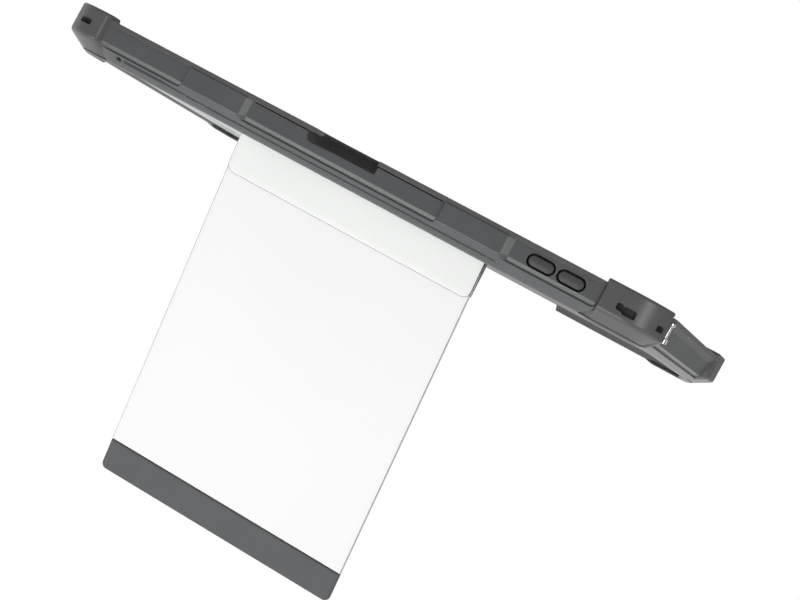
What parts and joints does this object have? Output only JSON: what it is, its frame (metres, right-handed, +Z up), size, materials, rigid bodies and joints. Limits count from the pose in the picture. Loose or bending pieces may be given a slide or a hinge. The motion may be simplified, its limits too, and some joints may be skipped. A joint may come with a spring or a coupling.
{
  "type": "tablet data collector",
  "caption": "Field data collector: a flat tablet computer in a thick armoured case with corner bumpers, standing on a wide hinged back stand with a rubber foot.",
  "frame": {"origin": "middle of the footprint, on the ground", "axes": "+X to the user's right along the long edge, -Y towards the user, +Z up; the tablet leans back on its stand"},
  "size_m": [0.316, 0.242, 0.1879],
  "materials": {
    "armour": "satin",
    "bezel": "satin",
    "bumper": "matte",
    "shell": "matte",
    "back_panel": "satin",
    "liner": "matte",
    "dark_screw": "satin",
    "steel": "polished",
    "chassis": "matte",
    "screen_glass": "gloss",
    "gasket": "matte",
    "display": "gloss",
    "inner_metal": "satin",
    "cell": "satin",
    "circuit": "satin",
    "chip": "satin",
    "copper": "satin",
    "key": "matte",
    "hinge_steel": "satin",
    "hinge_plastic": "satin",
    "cover_white": "satin",
    "stand_white": "satin",
    "foot": "matte"
  },
  "bodies": {
    "tablet": {"armour_frame": "armour", "front_bezel": "bezel", "bumper_top_right": "bumper", "bumper_top_left": "bumper", "bumper_bottom_right": "bumper", "bumper_bottom_left": "bumper", "back_shell": "shell", "back_panel": "back_panel", "scoop_liner": "liner", "rim_screws": "dark_screw", "tether_post": "steel", "chassis": "chassis", "cover_glass": "screen_glass", "glass_gasket": "gasket", "display_panel": "display", "midplate": "inner_metal", "battery_left": "cell", "battery_right": "cell", "mainboard": "circuit", "processor": "chip", "heat_spreader": "copper", "ssd_module": "circuit", "radio_module": "inner_metal", "speaker_left": "chip", "speaker_right": "chip", "antenna_left": "copper", "antenna_right": "copper", "front_camera": "chip", "rear_camera": "chip", "rear_camera_ring": "chassis", "rear_camera_window": "screen_glass", "port_board": "circuit", "usb_connectors": "steel", "key_board": "circuit", "tact_switches": "steel", "stand_bracket": "hinge_steel", "bracket_screws": "steel", "hinge_shaft": "steel", "friction_washers": "hinge_steel", "keeper_discs": "steel"},
    "stand": {"hinge_leaf": "hinge_steel", "leaf_rivets": "steel", "hinge_housing": "hinge_plastic", "hinge_cover": "cover_white", "stand_plate": "stand_white", "stand_magnets": "steel", "stand_foot": "foot"},
    "power_button": {"power_key": "key"},
    "volume_button": {"volume_key": "key"}
  },
  "joints": [
    {"name": "stand_hinge", "type": "hinge", "parent": "tablet", "child": "stand", "pos_m": [0.0017, 0.00889, 0.1445], "axis": [1, 0, 0], "range_deg": [-76, 44]},
    {"name": "power_press", "type": "slide", "parent": "tablet", "child": "power_button", "axis": [0, -0.6275, -0.7786], "range_m": [0, 0.0008], "stiffness_N_per_m": 900, "springref_m": -0.0012},
    {"name": "volume_press", "type": "slide", "parent": "tablet", "child": "volume_button", "axis": [0, -0.6275, -0.7786], "range_m": [0, 0.0008], "stiffness_N_per_m": 900, "springref_m": -0.0012}
  ]
}
